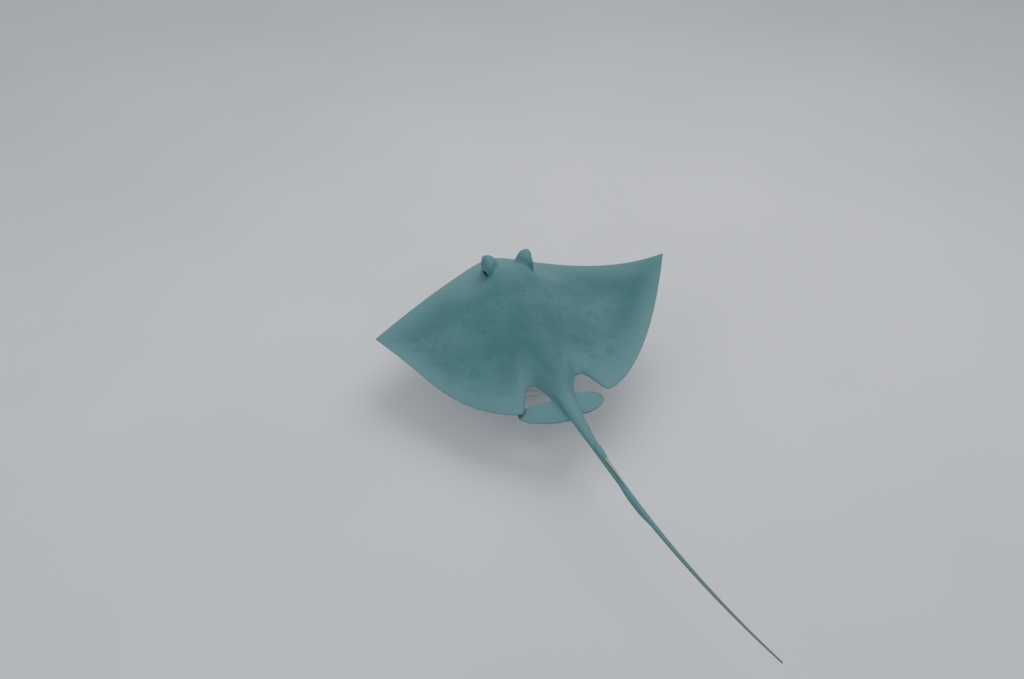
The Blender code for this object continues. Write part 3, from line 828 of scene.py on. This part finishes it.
def even_fold(mesh):
    """Sets the lower edge of the fold under the tail back on its curve: it is thin for the voxels."""
    points, outward = points_of(mesh), normals_of(mesh)
    x, y, z = points.T
    parts = np.linspace(FOLD_START, FOLD_END, FOLD_STEPS)
    _, bottom = fold_depth((parts - FOLD_START) / (FOLD_END - FOLD_START))
    edge = along_tail(parts, np.zeros(FOLD_STEPS), -bottom)
    here = np.interp(-y, -edge[:, 1], parts, FOLD_START, FOLD_END)
    off = np.abs(x - np.interp(-y, -edge[:, 1], edge[:, 0]))
    lowest = np.interp(-y, -edge[:, 1], edge[:, 2])
    there = ramp(here, FOLD_START, FOLD_END_SLOPE) * fade(here, FOLD_END, FOLD_END_SLOPE)
    there = there * fade(off, *FOLD_SIDE) * fade(z, lowest + FOLD_RIM_HEIGHT, FOLD_RIM_SLOPE)
    rim = ramp(-outward[:, 2], *FOLD_FACING_DOWN)
    points[:, 2] += there * (mix(np.maximum(z, lowest), lowest, rim) - z)
    move_points(mesh, points)


def true_margin(mesh):
    """Sets the thin rim of the disc back on its lofted section, which the voxels leave ragged."""
    points = points_of(mesh)
    x, y, _ = points.T
    span = np.clip(np.abs(x) / HALF_WIDTH, 0.0, 1.0)
    front, rear = front_margin(span), rear_margin(span)
    ahead = y > (front + rear) / 2.0
    above = above_margin(points)
    thin = (1.0 - span ** WING_THINNING) * (1.0 - REAR_THINNING * ~ahead)
    full = np.where(above > 0.0, WING_TOP, WING_BOTTOM) * thin + EDGE_HALF
    full = full + (above <= 0.0) * belly_depth(x, y)
    rim = np.clip(np.abs(above) / full, 0.0, 1.0)
    rim = np.where(above > 0.0, rim ** (1.0 / EDGE_FULLNESS), rim)
    chord = (1.0 - np.sqrt(1.0 - rim * rim)) / 2.0
    there = np.where(ahead, mix(front, rear, chord), mix(rear, front, chord))
    part = fade(rim, *MARGIN_RIM) * fade(np.abs(there - y), *MARGIN_SHIFT)
    past_lobe = smooth((span - REAR_LOBE_SPAN - MARGIN_LOBE_GAP) / MARGIN_LOBE_SLOPE + ahead)
    part = part * fade(span, *MARGIN_TIP) * past_lobe
    points[:, 1] += part * (there - y)
    move_points(mesh, points)


def flesh_lofts():
    """Points and faces of every shape that the skin lies over."""
    shapes = [loft(disc_point, *DISC_LOFT), loft(tail_point, *TAIL_LOFT)]
    shapes += [loft(fold_point, *FOLD_LOFT), loft(sheath_point, *SHEATH_LOFT)]
    for side in (-1, 1):
        shapes.append(loft(partial(pelvic_point, side), *PELVIC_LOFT))
        shapes.append(loft(partial(brow_point, side), *BROW_LOFT))
    return shapes


def body_skin():
    """The whole skin as an object and its closed mesh."""
    item = shown("skin", bpy.data.meshes.new("skin"))
    shape = bmesh.new()
    for points, faces in flesh_lofts():
        part = mesh_from("loft", points, faces)
        shape.from_mesh(part)
        bpy.data.meshes.remove(part)
    shape.to_mesh(item.data)
    shape.free()
    mesh = with_modifier(item, "REMESH", mode="VOXEL", voxel_size=VOXEL)
    relax(mesh, EVEN_ROUNDS, 1.0, keep_size=True)
    relax(mesh, BROW_ROUNDS, brow_foot(points_of(mesh)))
    relax(mesh, TAIL_ROUNDS, tail_joint(points_of(mesh)))
    even_fold(mesh)
    relax(mesh, EVEN_ROUNDS, 1.0, keep_size=True)
    true_margin(mesh)
    cut_finer(mesh, fine_places(points_of(mesh)))
    relax(mesh, DETAIL_ROUNDS, fine_places(points_of(mesh)) * 1.0, keep_size=True)
    cut_finer(mesh, detail_places(points_of(mesh), FINEST_DETAILS))
    raise_detail(mesh)
    mesh.calc_loop_triangles()
    ratio = min(1.0, MOST_TRIANGLES / len(mesh.loop_triangles))
    return item, with_modifier(item, "DECIMATE", ratio=ratio)


# ---- Colour masks, kept on the skin's vertices ----

def add_mask(mesh, name, values):
    layer = mesh.attributes.new(name, "FLOAT", "POINT")
    layer.data.foreach_set("value", np.ascontiguousarray(values, np.float32))


def skin_masks(mesh):
    """Where the belly, the openings, the thorns, the rough band, the head and the tail's end are."""
    points, outward = points_of(mesh), normals_of(mesh)
    x, y, _ = points.T
    above = above_margin(points)
    span = np.clip(np.abs(x) / HALF_WIDTH, 0.0, 1.0)
    belly = fade(outward[:, 2], *BELLY_FACING) * ramp(y, *BELLY_REAR) * smooth(0.5 - above / BELLY_SLOPE)
    inward = np.minimum(front_margin(span) - y, y - rear_margin(span))
    # Where the openings are, for the painted shade inside them.
    hollow = np.maximum(underside_detail(points)[1], spiracle(points)[1] * (above > 0.0))
    band = bump(x, DENTICLE_WIDTH) * fade(y, *DENTICLE_FRONT) * ramp(y, *DENTICLE_REAR) * (above > 0.0)
    add_mask(mesh, "belly", belly)
    add_mask(mesh, "inward", np.clip(inward, 0.0, 1.0))
    add_mask(mesh, "hollow", hollow)
    add_mask(mesh, "thorn", ramp(thorns(points), *THORN_TIP))
    add_mask(mesh, "denticle", band)
    add_mask(mesh, "head", ramp(y, *HEAD_REAR) * fade(np.abs(x), *HEAD_SIDE))
    add_mask(mesh, "whip", fade(y, *WHIP_FRONT))


# ---- Colours, and how much of each ----

BACK = (0.044, 0.127, 0.134, 1.0)
BACK_LIGHT = (0.068, 0.168, 0.176, 1.0)
BACK_DARK = (0.031, 0.094, 0.101, 1.0)
BACK_EVENNESS = 0.55
# Painted light: a paler tint laid along the margin and over the head.
PAINTED_LIGHT_TINT = (0.082, 0.184, 0.192, 1.0)
MARGIN_REACH = 0.19
MARGIN_PAINTED_LIGHT = 0.80
HEAD_PAINTED_LIGHT = 0.80
# Painted haze: the tail's end is made paler.
WHIP_HAZE_TINT = (0.110, 0.150, 0.155, 1.0)
WHIP_HAZE = 0.8
BELLY = (0.640, 0.640, 0.610, 1.0)
BELLY_DUSK = (0.160, 0.215, 0.220, 1.0)
DUSK_BAND = (0.010, 0.052)        # inward of the margin, where the dusk ends
DUSK_WAVE = 0.055
# Painted shade: near black inside the spiracles, mouth, nostrils, gill slits and vent.
HOLLOW_SHADE = (0.010, 0.014, 0.015, 1.0)
THORN = (0.150, 0.185, 0.180, 1.0)
THORN_PALENESS = 0.8
IRIS_DARK = (0.045, 0.042, 0.028, 1.0)
IRIS_LIGHT = (0.120, 0.102, 0.060, 1.0)
IRIS_RIM = (0.020, 0.022, 0.020, 1.0)
PUPIL = (0.003, 0.003, 0.003, 1.0)
SPINE = (0.22, 0.21, 0.165, 1.0)
SPINE_STAIN = (0.12, 0.115, 0.09, 1.0)
PAINT_DARK = (0.46, 0.47, 0.49, 1.0)
PAINT_LIGHT = (0.50, 0.51, 0.53, 1.0)
STEEL_DARK = (0.58, 0.58, 0.59, 1.0)
STEEL_LIGHT = (0.70, 0.70, 0.71, 1.0)
STEEL_STRETCH = (1.0, 1.0, 0.02)  # draws the noise out along the rod
FLOOR_DARK = (0.56, 0.57, 0.60, 1.0)
FLOOR_LIGHT = (0.60, 0.61, 0.64, 1.0)
NOISE_MIDDLE = 0.5


# ---- Materials ----

class Nodes:
    """A material's node tree, with short ways to add and join nodes."""

    def __init__(self, name):
        self.material = bpy.data.materials.new(name)
        self.material.use_nodes = True
        self.tree = self.material.node_tree
        self.place = self.add("ShaderNodeTexCoord").outputs["Object"]

    def join(self, source, target):
        """Links a socket, or sets a constant on the target itself."""
        if hasattr(source, "is_linked"):
            self.tree.links.new(source, target)
        else:
            target.default_value = source

    def add(self, kind, inputs=None, **settings):
        """A new node with its settings, and with sockets or constants at its inputs."""
        node = self.tree.nodes.new(kind)
        for key, value in settings.items():
            setattr(node, key, value)
        for key, value in (inputs or {}).items():
            self.join(value, node.inputs[key])
        return node

    def noise(self, scale, detail=3.0, roughness=0.55, distortion=0.0, place=None):
        inputs = {"Vector": place or self.place, "Scale": scale, "Detail": detail}
        inputs.update({"Roughness": roughness, "Distortion": distortion})
        return self.add("ShaderNodeTexNoise", inputs).outputs["Fac"]

    def cells(self, scale):
        inputs = {"Vector": self.place, "Scale": scale}
        return self.add("ShaderNodeTexVoronoi", inputs).outputs["Distance"]

    def mask(self, name):
        return self.add("ShaderNodeAttribute", attribute_name=name).outputs["Fac"]

    def calc(self, kind, first, second):
        return self.add("ShaderNodeMath", {0: first, 1: second}, operation=kind).outputs[0]

    def spread(self, value, reads, gives=(0.0, 1.0)):
        """Turns the range that is read into the one that is given, smoothly and clipped at both ends."""
        inputs = {"Value": value, "From Min": reads[0], "From Max": reads[1]}
        inputs.update({"To Min": gives[0], "To Max": gives[1]})
        return self.add("ShaderNodeMapRange", inputs, interpolation_type="SMOOTHSTEP").outputs["Result"]

    def blend(self, part, first, second):
        """Mixes two colours, whose sockets the node has under these numbers."""
        inputs = {"Factor": part, 6: first, 7: second}
        return self.add("ShaderNodeMix", inputs, data_type="RGBA").outputs[2]

    def bump(self, height, strength, distance, after=None):
        inputs = {"Height": height, "Strength": strength, "Distance": distance}
        if after is not None:
            inputs["Normal"] = after
        return self.add("ShaderNodeBump", inputs).outputs["Normal"]

    def finish(self, colour, **inputs):
        """The material, once its shader's inputs are joined to sockets or set to constants."""
        shader = self.tree.nodes["Principled BSDF"]
        self.join(colour, shader.inputs["Base Color"])
        for name, value in inputs.items():
            self.join(value, shader.inputs[name.replace("_", " ")])
        return self.material


def back_colour(nodes):
    """Mottled and speckled, with painted light that makes it paler along the margin and on the head, and
    painted haze that makes it paler at the tail's end.
    """
    broad = nodes.noise(scale=3.2, detail=2.0)
    mottle = nodes.noise(scale=26.0, detail=4.0, roughness=0.6, distortion=0.4)
    speckle = nodes.noise(scale=240.0, detail=2.0, roughness=0.6)
    back = nodes.blend(nodes.spread(broad, reads=(0.36, 0.66)), BACK_DARK, BACK_LIGHT)
    back = nodes.blend(BACK_EVENNESS, back, BACK)
    back = nodes.blend(nodes.spread(mottle, reads=(0.46, 0.72), gives=(0.0, 0.55)), back, BACK_DARK)
    back = nodes.blend(nodes.spread(speckle, reads=(0.52, 0.74), gives=(0.0, 0.30)), back, BACK_LIGHT)
    # Painted light: paler along the margin and over the head.
    margin = nodes.spread(nodes.mask("inward"), reads=(0.0, MARGIN_REACH), gives=(MARGIN_PAINTED_LIGHT, 0.0))
    head = nodes.calc("MULTIPLY", nodes.mask("head"), HEAD_PAINTED_LIGHT)
    # Painted haze: paler towards the tail's end.
    whip = nodes.calc("MULTIPLY", nodes.mask("whip"), WHIP_HAZE)
    back = nodes.blend(margin, back, PAINTED_LIGHT_TINT)
    back = nodes.blend(head, back, PAINTED_LIGHT_TINT)
    return nodes.blend(whip, back, WHIP_HAZE_TINT)


def belly_colour(nodes):
    """White and faintly clouded, with a dusky band of wavy width along the margin."""
    wave = nodes.calc("SUBTRACT", nodes.noise(scale=14.0, detail=4.0), NOISE_MIDDLE)
    wave = nodes.calc("MULTIPLY", wave, DUSK_WAVE)
    inward = nodes.calc("ADD", nodes.mask("inward"), wave)
    cloud = nodes.spread(nodes.noise(scale=9.0), reads=(0.45, 0.75), gives=(0.0, 0.16))
    belly = nodes.blend(cloud, BELLY, BELLY_DUSK)
    return nodes.blend(nodes.spread(inward, reads=DUSK_BAND, gives=(1.0, 0.0)), belly, BELLY_DUSK)


def skin_relief(nodes):
    """Fine grain all over, coarse denticles along the middle of the back, and soft wrinkles."""
    grain = nodes.bump(nodes.cells(scale=420.0), strength=0.22, distance=0.0006)
    coarse = nodes.calc("MULTIPLY", nodes.cells(scale=190.0), nodes.mask("denticle"))
    coarse = nodes.bump(coarse, strength=0.50, distance=0.0014, after=grain)
    wrinkle = nodes.noise(scale=38.0, detail=5.0, roughness=0.6)
    return nodes.bump(wrinkle, strength=0.30, distance=0.0030, after=coarse)


def skin_material():
    nodes = Nodes("ray_skin")
    colour = nodes.blend(nodes.mask("belly"), back_colour(nodes), belly_colour(nodes))
    thorn = nodes.calc("MULTIPLY", nodes.mask("thorn"), THORN_PALENESS)
    colour = nodes.blend(thorn, colour, THORN)
    # Painted shade inside the openings.
    colour = nodes.blend(nodes.mask("hollow"), colour, HOLLOW_SHADE)
    rough = nodes.spread(nodes.noise(scale=60.0), reads=(0.3, 0.7), gives=(0.56, 0.72))
    return nodes.finish(colour, Roughness=rough, Normal=skin_relief(nodes), Specular_IOR_Level=0.22)


def eye_material(side):
    """Dark bronze iris with a crescent pupil, drawn about the way the eye looks."""
    nodes = Nodes("ray_eye")
    _, level, upright = eye_axes(side)
    away = nodes.add("ShaderNodeVectorMath", {0: nodes.place, 1: eye_centre(side)}, operation="SUBTRACT")

    def along(direction):
        inputs = {0: away.outputs[0], 1: tuple(direction / EYE_RADIUS)}
        return nodes.add("ShaderNodeVectorMath", inputs, operation="DOT_PRODUCT").outputs["Value"]

    def oval(middle, half_width, half_height):
        """Square of the distance from an oval's middle, as a multiple of its half widths."""
        wide = nodes.calc("DIVIDE", across, half_width)
        tall = nodes.calc("DIVIDE", nodes.calc("SUBTRACT", height, middle), half_height)
        return nodes.calc("ADD", nodes.calc("MULTIPLY", wide, wide), nodes.calc("MULTIPLY", tall, tall))

    across, height = along(level), along(upright)
    pupil = nodes.spread(oval(0.0, *PUPIL_HALVES), reads=(0.85, 1.05), gives=(1.0, 0.0))
    flap = nodes.spread(oval(FLAP_HEIGHT, *FLAP_HALVES), reads=(0.85, 1.10), gives=(1.0, 0.0))
    pupil = nodes.calc("MULTIPLY", pupil, nodes.calc("SUBTRACT", 1.0, flap))
    streaks = nodes.noise(scale=900.0, roughness=0.7)
    iris = nodes.blend(nodes.spread(streaks, reads=(0.35, 0.65)), IRIS_DARK, IRIS_LIGHT)
    iris = nodes.blend(nodes.spread(oval(0.0, 1.0, 1.0), reads=(0.26, 0.42)), iris, IRIS_RIM)
    colour = nodes.blend(pupil, iris, PUPIL)
    return nodes.finish(colour, Roughness=0.08, Coat_Weight=1.0, Coat_Roughness=0.03)


def sting_material():
    """Bone with darker stains."""
    nodes = Nodes("ray_sting")
    stain = nodes.spread(nodes.noise(scale=90.0, detail=4.0), reads=(0.35, 0.70))
    rough = nodes.spread(nodes.noise(scale=300.0), reads=(0.3, 0.7), gives=(0.34, 0.52))
    grain = nodes.bump(nodes.noise(scale=600.0, detail=2.0), strength=0.25, distance=0.0006)
    return nodes.finish(nodes.blend(stain, SPINE, SPINE_STAIN), Roughness=rough, Normal=grain)


def base_material():
    """Grey paint."""
    nodes = Nodes("stand_paint")
    mottle = nodes.spread(nodes.noise(scale=70.0), reads=(0.35, 0.65))
    rough = nodes.spread(nodes.noise(scale=12.0, detail=4.0), reads=(0.3, 0.7), gives=(0.40, 0.52))
    grain = nodes.bump(nodes.noise(scale=900.0, detail=2.0), strength=0.12, distance=0.0004)
    return nodes.finish(nodes.blend(mottle, PAINT_DARK, PAINT_LIGHT), Roughness=rough, Normal=grain)


def rod_material():
    """Steel with fine lines along the rod."""
    nodes = Nodes("stand_steel")
    stretch = nodes.add("ShaderNodeMapping", {"Vector": nodes.place, "Scale": STEEL_STRETCH})
    lines = nodes.noise(scale=900.0, roughness=0.6, place=stretch.outputs["Vector"])
    colour = nodes.blend(nodes.spread(lines, reads=(0.35, 0.65)), STEEL_DARK, STEEL_LIGHT)
    rough = nodes.spread(lines, reads=(0.3, 0.7), gives=(0.24, 0.38))
    grain = nodes.bump(lines, strength=0.15, distance=0.0003)
    return nodes.finish(colour, Roughness=rough, Normal=grain, Metallic=1.0)


def floor_material():
    nodes = Nodes("studio_floor")
    patch = nodes.spread(nodes.noise(scale=0.7, detail=2.0), reads=(0.3, 0.7))
    colour = nodes.blend(patch, FLOOR_DARK, FLOOR_LIGHT)
    return nodes.finish(colour, Roughness=0.85, Specular_IOR_Level=0.2)


def paint(item, material):
    item.data.materials.clear()
    item.data.materials.append(material)


def paint_node(name, material):
    """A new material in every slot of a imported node, without a change to its mesh."""
    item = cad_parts[name]
    if not item.material_slots:
        item.data.materials.append(material)
    for slot in item.material_slots:
        slot.material = material


# ---- The pieces ----

def make_skin():
    item, mesh = body_skin()
    skin_masks(mesh)
    mesh.shade_smooth()
    paint(item, skin_material())
    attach(item, "root")
    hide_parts(*FLESH)


def make_eye(side, node):
    points, faces = loft(partial(eye_point, side), *EYE_LOFT)
    item = shown(node.replace("eye", "eyeball"), mesh_from(node, points, faces))
    item.data.shade_smooth()
    paint(item, eye_material(side))
    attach(item, "root")
    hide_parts(node)


def make_sting():
    points, faces = loft(sting_point, *STING_LOFT)
    item = shown("sting", mesh_from("sting", points, faces))
    item.data.shade_smooth()
    paint(item, sting_material())
    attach(item, "root")
    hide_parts("tail_sting")


# ---- The studio ----

def make_floor():
    corners = [(-FLOOR_HALF, -FLOOR_HALF, 0.0), (FLOOR_HALF, -FLOOR_HALF, 0.0)]
    corners += [(FLOOR_HALF, FLOOR_HALF, 0.0), (-FLOOR_HALF, FLOOR_HALF, 0.0)]
    floor = shown("studio_floor", mesh_from("studio_floor", np.array(corners), [(0, 1, 2, 3)]))
    floor.location.z = cad_low.z - FLOOR_GAP
    paint(floor, floor_material())


def make_sky():
    world = bpy.data.worlds.new("studio")
    world.use_nodes = True
    sky = world.node_tree.nodes["Background"]
    sky.inputs["Color"].default_value = SKY_TINT
    sky.inputs["Strength"].default_value = SKY_STRENGTH
    bpy.context.scene.world = world


def make_lamp(name, place, size, power, tint):
    light = bpy.data.lights.new(name, "AREA")
    light.shape = "DISK"
    light.size = size
    light.energy = power
    light.color = tint
    item = shown(name, light)
    item.location = place
    aim = Vector(LAMP_AIM) - Vector(place)
    item.rotation_euler = aim.to_track_quat("-Z", "Y").to_euler()


def make_camera():
    """The photo's own point of view."""
    view = bpy.data.cameras.new("camera")
    view.sensor_width = CAMERA_SENSOR
    view.lens = CAMERA_LENS
    view.clip_end = CAMERA_FAR
    item = shown("camera", view)
    item.location = CAMERA_PLACE
    item.rotation_euler = (math.pi / 2 - CAMERA_TILT, 0.0, CAMERA_TURN)
    bpy.context.scene.camera = item


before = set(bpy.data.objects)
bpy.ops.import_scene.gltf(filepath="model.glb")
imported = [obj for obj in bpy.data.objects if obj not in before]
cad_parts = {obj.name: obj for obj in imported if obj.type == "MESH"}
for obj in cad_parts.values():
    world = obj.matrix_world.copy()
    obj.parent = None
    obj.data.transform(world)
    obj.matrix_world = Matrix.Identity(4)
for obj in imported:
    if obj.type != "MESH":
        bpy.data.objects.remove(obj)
cad_low, cad_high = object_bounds()
make_camera()
make_skin()
make_sting()
make_eye(-1, "eye_left")
make_eye(1, "eye_right")
paint_node("stand_base", base_material())
for rod in ("stand_rod_front", "stand_rod_rear"):
    paint_node(rod, rod_material())
make_floor()
make_sky()
for lamp in LAMPS:
    make_lamp(*lamp)
